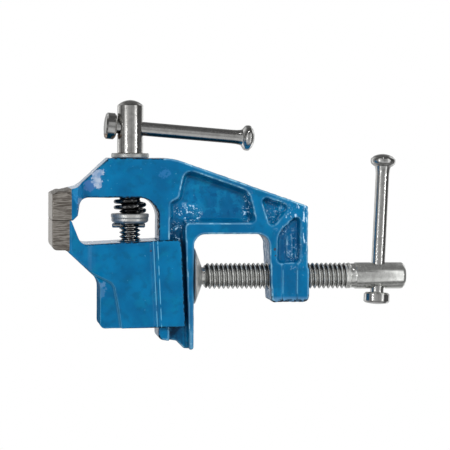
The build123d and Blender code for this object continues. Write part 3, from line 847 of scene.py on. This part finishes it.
def turned_cap(node, centre, way, cap_face):
    """A round cap with a blind bore for the bar's end, a bevelled rim and a faint dome."""
    bore = [(2.41, 0.01), (2.41, 2.11), (0.0, 2.11)]
    rim = [(0.0, 3.3), (0.15, 3.55), (0.6, 4.0), (2.7, 4.0)]
    rows = [(cap_face + far, radius) for far, radius in bore + rim]
    rows += dome_rows((cap_face + 3.2, 3.5), (cap_face + 3.6, 0.01))
    return stands_for(turned(node + "_turned", rows, centre, way), node)


main_way, main_cap_face = (0.080199, -0.052167, 0.995413), 4.434
clamp_way, clamp_cap_face = (-0.994543, -0.087011, 0.057564), 5.237
main_bar = turned_bar("main_bar", main_place, main_way, main_cap_face)
main_cap = turned_cap("main_bar_cap", main_place, main_way, main_cap_face)
clamp_bar = turned_bar("clamp_bar", clamp_place, clamp_way, clamp_cap_face)
clamp_cap = turned_cap("clamp_bar_cap", clamp_place, clamp_way, clamp_cap_face)

# %% [markdown]
# The washers, the collar that takes the thrust and the swivel pad are rings. A ring's
# profile is closed, so its bore, faces and rounded edges are one surface. The pin that
# holds the collar is a rod with bevelled ends.


# %% Turn the rings, the pin and the pad
def ring(node, rows, centre, way):
    """A closed profile carried round: the last row joins the first."""
    return stands_for(turned(node + "_turned", rows, centre, way, closed=True), node)


bore = 3.225
along_screw = (1, 0, 0)
hub_washer_rows = [(35.95, bore), (37.3, bore), (37.3, 5.45), (37.08, 5.7), (36.2, 5.7), (35.95, 5.5)]
thin_rows = [(17.75, bore), (19.05, bore), (19.05, 5.5), (18.85, 5.75), (18.0, 5.75), (17.75, 5.55)]
collar_rows = [(16.2, bore), (17.7, bore), (17.7, 5.5), (17.6, 5.6), (16.9, 5.6)]
collar_rows += [(16.5, 5.3), (16.2, 4.7)]
pad_rows = [(0.25, 3.5), (0.25, 8.25), (0.45, 8.45), (0.85, 8.45)]
pad_rows += [(2.85, 3.4), (2.85, 2.2), (1.4, 2.2), (1.4, 3.5)]
pin_rows = [(-5.0, 0.45), (-4.75, 0.7), (4.75, 0.7), (5.0, 0.45)]
hub_washer = ring("hub_washer", hub_washer_rows, screw_line, along_screw)
spring_washer = ring("spring_washer", thin_rows, screw_line, along_screw)
thrust_collar = ring("thrust_collar", collar_rows, screw_line, along_screw)
pin = turned("retaining_pin_turned", pin_rows, (15.45, 0, 19.3), (0, 0, 1), turns=32)
pin = stands_for(pin, "retaining_pin")
pad = ring("clamp_pad", pad_rows, (0, 0, 0), down)

# %% [markdown]
# ## Blue enamel
# The castings wear one thick coat of glossy mid blue. A flat colour could do, but here proud
# edges get painted highlights and painted dark lines, and hollows get painted shade. The first
# cell reads the numbers that the skins keep, and the next ones lay a few coats each, from the
# ground coat upwards.


# %% Read the skin's numbers
class Enamel(Finish):
    """A finish with the skin's five numbers and the masks that most of its coats share."""

    def __init__(self, name, frame_top):
        super().__init__(name)
        for kept in ("proud", "deep", "loose", "upward", "side_on"):
            settings = {"attribute_name": kept}
            setattr(self, kept, self.node("ShaderNodeAttribute", settings, output="Fac"))
        self.near_side = self.y.rise(1.0, -1.0)
        self.frame_part = self.z.rise(frame_top, frame_top - 0.8)
        self.streaks = self.noise(2.4, 2.0)
        self.flecks = self.noise(0.7, 3.0)
        self.grit = self.noise(0.50, 2.0)


def spot(x, z, centre_x, centre_z, half_x, half_z):
    """1 inside an ellipse on the side of the vise, in millimetres."""
    across, along = (x - centre_x) / half_x, (z - centre_z) / half_z
    return (across * across + along * along).rise(1.15, 0.75)


# %% [markdown]
# The ground coat drifts between two blues that hardly differ, under greener and darker
# clouds. Hollows, and the groove that the jaw's block rides in, are painted darker, as
# painted shade.


# %% Lay the ground coat
def ground_coat(paint):
    x, y, z = paint.x, paint.y, paint.z
    drift = paint.noise(8.0, 2.0).rise(0.3, 0.7)
    paint.colour = paint.blend(drift, linear(0, 86, 132), linear(0, 104, 152))
    paint.coat(0.5 * paint.noise(4.5, 3.0, 0.6).rise(0.52, 0.66), (0, 108, 146))
    paint.coat(0.6 * paint.noise(2.4, 3.0).rise(0.50, 0.70), (2, 82, 122))
    # Painted shade in the hollows.
    paint.coat(0.25 * paint.deep.rise(-0.12, -0.60), (0, 78, 122))
    # Painted shade in the groove that the jaw's block rides in.
    rail_groove_shade = z.rise(2.6, 3.2) * z.rise(7.4, 6.9) * x.rise(17.5, 15.5) * abs(y).rise(6.5, 5.8)
    paint.coat(0.6 * rail_groove_shade, (2, 40, 72))


# %% [markdown]
# On the frame's ribs a pale line runs along every rim: a painted highlight. The line
# is broken by streaked noise.


# %% Paint highlights on the rims
def rim_highlights(paint):
    # Painted highlights: a pale line along every rim of the frame's ribs.
    rim = paint.proud.rise(0.035, 0.095) * paint.frame_part
    paint.coat(0.18 * rim, (110, 165, 195))
    crest = paint.proud.rise(0.06, 0.10) * paint.frame_part * paint.side_on.rise(0.45, 0.75)
    paint.coat((0.20 + 0.5 * paint.streaks.rise(0.50, 0.62)) * crest, (140, 195, 220))


# %% [markdown]
# Edges that rub have lost their coat and show dull iron, and edges also get painted dark
# lines, a painted shade and dark reflection along them: on the block, under the seat, at the
# boss's foot, and on the walls of the opening behind the jaws, called the lip here. The boss's
# rounded foot gets a painted highlight. The slope behind the moving jaw kept its coat, but a
# matt one, and its edges are painted paler, a painted highlight over their shade.


# %% Wear and shade the edges
def lip_within(paint, near, top, left, right):
    """1 on the opening's wall: the product of steps in Y, Z, X and X again, each by its pair."""
    return paint.y.rise(*near) * paint.z.rise(*top) * paint.x.rise(*left) * paint.x.rise(*right)


def worn_and_shaded_edges(paint, lip):
    """Lays the worn coats, painted dark edges and painted highlights, and gives back two masks: where
    the iron is dull or painted dark, and the matt slope.
    """
    x, y, z, flecks = paint.x, paint.y, paint.z, paint.flecks
    above_frame = 1 - paint.frame_part
    under_seat = x.rise(-5.0, -5.8) * z.rise(0.5, -1.5) * flecks.rise(0.44, 0.52)
    edge = paint.proud.rise(0.02, 0.06) * paint.side_on.rise(0.98, 0.85)
    edge = edge * above_frame.greater(under_seat)
    edge = edge * (1 - 0.5 * z.rise(26.0, 27.0)) * z.rise(33.5, 32.5)
    wall = lip * paint.side_on.rise(0.75, 0.40) * above_frame
    slope = x.rise(2.6, 1.6) * z.rise(20.0, 22.0)
    worn_and_shaded = (edge * flecks.rise(0.36, 0.56)).greater(wall * flecks.rise(0.38, 0.50)) * (1 - slope)
    # Painted highlight: the slope's edges are lightened over their shade.
    slope_edge_highlight = slope * paint.side_on.rise(0.93, 0.80) * paint.side_on.rise(0.2, 0.4)
    paint.coat(0.6 * slope_edge_highlight, (80, 160, 204))
    # Painted highlight on the rounded foot of the boss.
    boss_foot_highlight = x.rise(-5.6, -6.8) * z.rise(-22.0, -24.0)
    paint.coat(0.45 * boss_foot_highlight, (112, 150, 182))
    boss_chips = x.rise(-6.4, -7.0) * z.rise(-25.5, -26.5) * abs(y).rise(4.6, 5.6)
    worn_and_shaded = worn_and_shaded.greater(0.9 * boss_chips * flecks.rise(0.44, 0.50))
    # Painted shade and dark reflection along the edges, with dull iron where chipped.
    paint.coat(worn_and_shaded, (14, 30, 42))
    return worn_and_shaded, slope * z.rise(27.4, 27.9)


# %% [markdown]
# Where the sand was loose, the coat stands in beads, and their glints are painted: bright
# specks far smaller than the skin's squares, so they are a coat of grit and blobs, broken by
# streaks.


# %% Paint the glints
def painted_glints(paint):
    # Painted glints: bright specks where the sand was loose.
    blobs = paint.noise(0.95, 3.0, 0.6).rise(0.575, 0.62)
    beads = paint.grit.rise(0.60, 0.65).greater(blobs)
    glint_specks = beads * paint.loose * paint.streaks.rise(0.42, 0.52)
    paint.coat(0.95 * glint_specks, (186, 226, 252))
    return glint_specks


# %% [markdown]
# ### Marks of each casting
# Some marks in the photograph have a place of their own. A spot with a torn outline is an
# ellipse whose X and Z are shifted by noise before it is measured.


# %% Mark the body's arm
def torn_noise(paint):
    """A shift from about -2.5 to 2.5 mm that tears a spot's outline."""
    return (paint.noise(2.0, 4.0, 0.7) - 0.5) * 5.0


def arm_marks(paint, torn):
    """A bruise and a pale patch under the jaw, a painted highlight, and a cloudy spot low on the arm.
    """
    x, z = paint.x, paint.z
    bruise = spot(x + torn, z - torn, 27.6, 31.6, 1.6, 1.9)
    paint.coat(0.35 * bruise * paint.near_side, (96, 110, 170))
    cloudy = spot(x + torn, z + torn, 31.4, 9.2, 1.7, 2.0) * paint.noise(1.2, 3.0).rise(0.42, 0.52)
    paint.coat(0.45 * cloudy * paint.near_side, (52, 116, 172))
    # Painted highlight: a pale patch on the neck's slope under the jaw.
    neck_highlight = spot(x + torn, z + torn, 29.6, 29.2, 2.9, 1.5)
    neck_highlight = neck_highlight.greater(spot(x + torn, z - torn, 31.6, 28.6, 1.2, 1.6)) * paint.near_side
    highlight_colour = paint.noise(1.8, 3.0).rise(0.35, 0.65)
    highlight_colour = paint.blend(highlight_colour, linear(112, 142, 180), linear(172, 184, 202))
    patchy = paint.noise(1.1, 3.0).rise(0.26, 0.38)
    paint.colour = paint.blend(0.9 * neck_highlight * patchy, paint.colour, highlight_colour)


# %% [markdown]
# The boss has two painted highlight lines across its panel, and painted glints in streaks
# round its pocket, drawn long by stretched noise. All pocket floors are blotched, and the
# boss's pocket is painted darker, as painted shade. The last coat is a light spot high on
# the arm, painted light over the shade of the fillet under the jaw.


# %% Mark the body's boss and pockets
def boss_marks(paint, glint_specks):
    x, z, near_side = paint.x, paint.z, paint.near_side
    # Painted highlights: two lines across the boss's panel.
    lines = abs(z + 27.2).rise(0.22, 0.06).greater(abs(z + 31.6).rise(0.22, 0.06))
    lines = lines * x.rise(2.6, 1.8) * x.rise(-5.4, -4.6)
    paint.coat(0.55 * lines * paint.streaks.rise(0.30, 0.45), (96, 172, 208))
    # Painted glints: long streaks round the boss's pocket.
    streak_glints = paint.noise(1.1, 3.0, 0.6, (0.28, 1.0, 1.0)).rise(0.60, 0.66)
    on_boss = spot(x, z, 9.0, -34.3, 9.5, 1.5) + spot(x, z, 20.0, -33.0, 4.0, 2.6)
    on_boss = (on_boss + spot(x, z, 13.0, -27.5, 6.0, 1.2)) * near_side
    paint.coat(0.85 * streak_glints * on_boss, (190, 224, 248))
    floors = abs(paint.y).rise(5.8, 5.0) * paint.frame_part * (1 - glint_specks)
    paint.coat(0.45 * floors * paint.noise(3.2, 4.0, 0.65).rise(0.50, 0.60), (16, 122, 166))
    paint.coat(0.45 * floors * paint.noise(1.9, 4.0, 0.65).rise(0.53, 0.63), (0, 66, 116))
    # Painted shade in the boss's pocket.
    boss_pocket_shade = spot(x, z, 8.5, -29.5, 10.0, 4.4) * abs(paint.y).rise(6.0, 5.2)
    paint.coat(0.55 * boss_pocket_shade * (1 - glint_specks), (0, 66, 112))
    # Painted light over the shade of the fillet under the jaw.
    paint.coat(0.5 * spot(x, z, 25.6, 35.2, 3.4, 1.6) * near_side, (40, 130, 185))


def body_marks(paint, glint_specks):
    arm_marks(paint, torn_noise(paint))
    boss_marks(paint, glint_specks)


# %% [markdown]
# The jaw's block has a sloping groove with a painted highlight line on both sides of it,
# and it is rubbed pale under the slope.


# %% Mark the moving jaw
def jaw_marks(paint, glint_specks):
    x, z = paint.x, paint.z
    torn = torn_noise(paint)
    rubbed = spot(x + torn, z - torn, -2.0, 28.6, 0.9, 1.9)
    rubbed = rubbed.greater(0.5 * spot(x - torn, z + torn, -3.9, 28.1, 2.2, 1.4))
    paint.coat(0.34 * rubbed * paint.near_side, (128, 158, 196))
    # Painted highlights: a bright line along both sides of the sloping groove.
    leaning = z - 0.052 * (x - 9.0)
    lines = abs(leaning - 12.45).rise(0.20, 0.06).greater(abs(leaning - 11.2).rise(0.20, 0.06))
    lines = lines * x.rise(14.6, 13.8) * paint.streaks.rise(0.30, 0.45)
    paint.coat(0.75 * lines, (96, 172, 208))


# %% [markdown]
# ### The ground jaws
# The jaws' faces are ground bare steel with scratches across them, so their noise is drawn
# long along Z. Their tops are less like a mirror, and painted paler, a painted reflection.


# %% Grind the jaws
def ground_steel(paint, ground_from):
    """The mask of the ground part and of its top, the steel's colour, painted paler on the top as a
    painted reflection, and its scratched bump.
    """
    ground = paint.z.rise(ground_from - 0.1, ground_from + 0.1) * paint.x.rise(8.2, 8.5)
    top = paint.upward.rise(0.6, 0.9)
    scratch = paint.noise(0.20, 2.0, 0.6, (1.0, 1.0, 0.07))
    face = paint.blend(scratch.rise(0.36, 0.66), linear(104, 98, 92), linear(176, 171, 164))
    speckle = paint.noise(0.5, 3.0).rise(0.35, 0.5)
    # Painted reflection: the tops are paler steel.
    highlit_top_steel = paint.blend(speckle, linear(168, 163, 158), linear(216, 213, 208))
    return ground, top, paint.blend(top, face, highlit_top_steel), paint.bump(scratch, 0.02, 0.5)


def orange_peel(paint):
    """The bump of sprayed paint: a wide swell, a fine grain on it, and beads in the loose sand."""
    swell = paint.bump(paint.noise(2.2), 0.12, 0.5)
    grain = paint.bump(paint.noise(0.45, 3.0), 0.03, 0.5, swell)
    return paint.bump(paint.loose * paint.grit, 0.35, 0.9, grain)


# %% [markdown]
# ### The whole finish
# Last come dust and round pits, and then paint and steel are mixed by the mask of the
# grinding. The gloss is a clear coat over a matt base, which ends where the paint is worn.


# %% Paint both castings
def enamelled(name, ground_from, frame_top, lip, marks, pits):
    paint = Enamel(name, frame_top)
    ground_coat(paint)
    rim_highlights(paint)
    worn_and_shaded, matt = worn_and_shaded_edges(paint, lip_within(paint, *lip))
    glint_specks = painted_glints(paint)
    marks(paint, glint_specks)
    paint.coat(0.45 * paint.noise(0.9, 2.0).rise(0.72, 0.76), (90, 160, 190))
    for pit in pits:
        paint.coat(0.8 * spot(paint.x, paint.z, *pit) * paint.near_side, (58, 48, 52))
    ground, top, steel, scored = ground_steel(paint, ground_from)
    bumps = {0: ground, 4: orange_peel(paint), 5: scored}
    return paint.surface(
        Base_Color=paint.blend(ground, paint.colour, steel),
        Roughness=(0.32 + 0.14 * ground).greater(0.8 * worn_and_shaded).greater(0.8 * matt),
        Metallic=ground * (0.8 - 0.6 * top),
        Specular_IOR_Level=0.1,
        Coat_Weight=0.35 * (1 - ground) * (1 - worn_and_shaded) * (1 - matt),
        Coat_Roughness=0.06,
        Normal=paint.node("ShaderNodeMix", {"data_type": "VECTOR"}, bumps, output=1),
    )


body_lip = ((0.0, -1.5), (13.6, 12.8), (12.0, 13.0), (31.5, 30.5))
jaw_lip = ((-6.2, -7.7), (33.0, 32.0), (9.6, 10.4), (15.6, 14.8))
body_pits = ((8.5, -24.6, 0.45, 0.45), (6.6, -24.8, 0.25, 0.25))
jaw_pits = ((8.2, 13.3, 0.35, 0.35),)
put_on(body_skin, enamelled("body_enamel", 37.2, 9.8, body_lip, body_marks, body_pits))
put_on(jaw_skin, enamelled("jaw_enamel", 37.8, 0.0, jaw_lip, jaw_marks, jaw_pits))


# %% [markdown]
# ## Plated steel
# Screws, bars and rings are turned steel under bright plating. Turning leaves fine lines
# round the axis, which is noise drawn long round it, and the plating has a faint bloom.
# The threads are painted darker in their grooves, a painted shade, most on one side of the clamp
# screw, a stretch of the main screw's shank gets painted shade, and the main bar and its cap are
# painted darker and brown on their lower side in the picture, a painted shade.


# %% Plate the turned pieces
class Plating(Finish):
    """Bright plating over turning marks round an axis; each method below adds to it."""

    def __init__(self, piece, shade, roughness, axis, lines=0.4, cloudy=0.10, bare=1.0):
        super().__init__(piece.name + "_finish")
        self.piece, self.lines, self.bare = piece, lines, bare
        self.along, self.beside = (self.x, self.z) if axis == "X" else (self.z, self.x)
        stretch = tuple(1.0 if part == axis else 0.04 for part in "XYZ")
        self.turning = self.noise(0.30, 2.0, 0.6, stretch)
        cloud = self.noise(1.6, 3.0)
        dimmer = [0.9 * part for part in shade]
        self.colour = self.blend(cloud.rise(0.35, 0.75), linear(*shade), linear(*dimmer))
        self.gloss = roughness + 0.1 * lines * (self.turning - 0.5) + cloudy * (cloud - 0.5)

    def between(self, start, end):
        """1 between two places along the axis, with soft ends of a millimetre."""
        on = self.along.rise(start - 0.5, start + 0.5)
        return on * self.along.rise(end + 0.5, end - 0.5)

    def shaded_thread(self, start, end, height, crest, roots, upper_side_shade=0.0):
        """Painted shade: darkens the grooves with depth under the crest's radius, and the upper side,
        with less metal there.
        """
        on_thread = self.between(start, end)
        off_axis = self.beside - height
        far = (off_axis * off_axis + self.y * self.y).root()
        flank = far.rise(crest - 0.12, crest - 0.40)
        # Painted shade in the grooves, lighter again on the roots' floor.
        self.coat(flank * (1 - 0.8 * far.rise(crest - 0.62, crest - 0.74)) * on_thread, roots)
        self.gloss = self.gloss + 0.06 * on_thread
        if upper_side_shade:
            upper = off_axis.rise(0.36 * crest, 0.66 * crest) * far.rise(crest - 0.10, crest - 0.30)
            # Painted shade on the upper side of the thread.
            self.coat(upper_side_shade * upper * on_thread, (22, 22, 22))
            self.bare = self.bare - 0.2 * upper_side_shade * on_thread
        return self

    def oiled(self, start, end):
        """Painted shade, dark, on a stretch of the shank."""
        self.coat(self.between(start, end), (70, 70, 72))
        return self

    def shaded_below(self, shade, drop, from_height):
        """Painted shade, brown, where a point lies more than a drop under the main bar's axis, above
        a height.
        """
        under_axis = 43.477 + 0.08057 * self.z - self.x
        below = under_axis.rise(drop - 0.4, drop + 0.2)
        self.coat(0.92 * below * self.z.rise(from_height, from_height + 1.5), shade)
        return self

    def finished(self):
        marks = self.bump(self.turning, 0.01 * self.lines, 0.6)
        sockets = dict(Base_Color=self.colour, Roughness=self.gloss, Metallic=self.bare, Normal=marks)
        put_on(self.piece, self.surface(**sockets))


# %% [markdown]
# The screws and the bars differ in shade and gloss: new plating is like a mirror, and the
# zinc of the washers is matt.

# %% Plate the screws and bars
main_plating = Plating(main_screw, (208, 207, 204), 0.18, "X", cloudy=0.06)
main_plating.shaded_thread(-14.4, 24.0, screw_height, main_radius, (34, 34, 34))
# Painted shade on a stretch of the main screw's shank.
main_plating.oiled(17.5, 30.0).finished()
clamp_plating = Plating(clamp_screw, (232, 233, 230), 0.20, "Z", lines=0.3, bare=0.90)
clamp_plating.shaded_thread(-48.8, -3.8, 0.0, clamp_radius, (96, 97, 95), upper_side_shade=0.8).finished()
# Painted shade, brown, on the lower side of the main bar and its cap.
bar_plating = Plating(main_bar, (214, 214, 212), 0.22, "Z")
bar_plating.shaded_below((66, 56, 48), 1.25, -15.5).finished()
cap_plating = Plating(main_cap, (214, 214, 212), 0.13, "Z")
cap_plating.shaded_below((150, 128, 110), 2.5, 0.0).finished()
Plating(clamp_bar, (208, 208, 206), 0.20, "X").finished()
Plating(clamp_cap, (208, 208, 206), 0.13, "X").finished()

# %% Plate the small parts
Plating(hub_washer, (200, 202, 200), 0.38, "X", lines=0.5, cloudy=0.12, bare=0.8).finished()
Plating(spring_washer, (216, 217, 215), 0.36, "X", lines=0.5, cloudy=0.12, bare=0.78).finished()
Plating(thrust_collar, (216, 217, 215), 0.36, "X", lines=0.5, cloudy=0.12, bare=0.80).finished()
Plating(pad, (206, 207, 205), 0.42, "Z", lines=1.0, cloudy=0.12, bare=0.8).finished()
Plating(pin, (208, 208, 206), 0.22, "Z", lines=0.3).finished()

# %% [markdown]
# ## The spring
# The take-up spring is black oiled wire. The CAD's sweep already has its true form, so it
# only gets a finish: nearly black under a film of oil, and bare where it was rubbed.

# %% Blacken the spring
blackened = Finish("oiled_spring")
worn = blackened.noise(0.8, 2.0).rise(0.57, 0.62)
black_steel = blackened.surface(
    Base_Color=blackened.blend(worn, linear(8, 8, 9), linear(150, 150, 150)),
    Roughness=0.20,
    Metallic=0.9 * worn,
    Coat_Weight=0.8,
    Coat_Roughness=0.06,
    Normal=blackened.bump(blackened.noise(0.8, 3.0), 0.02, 0.4),
)
put_on(nodes["take_up_spring"], black_steel)
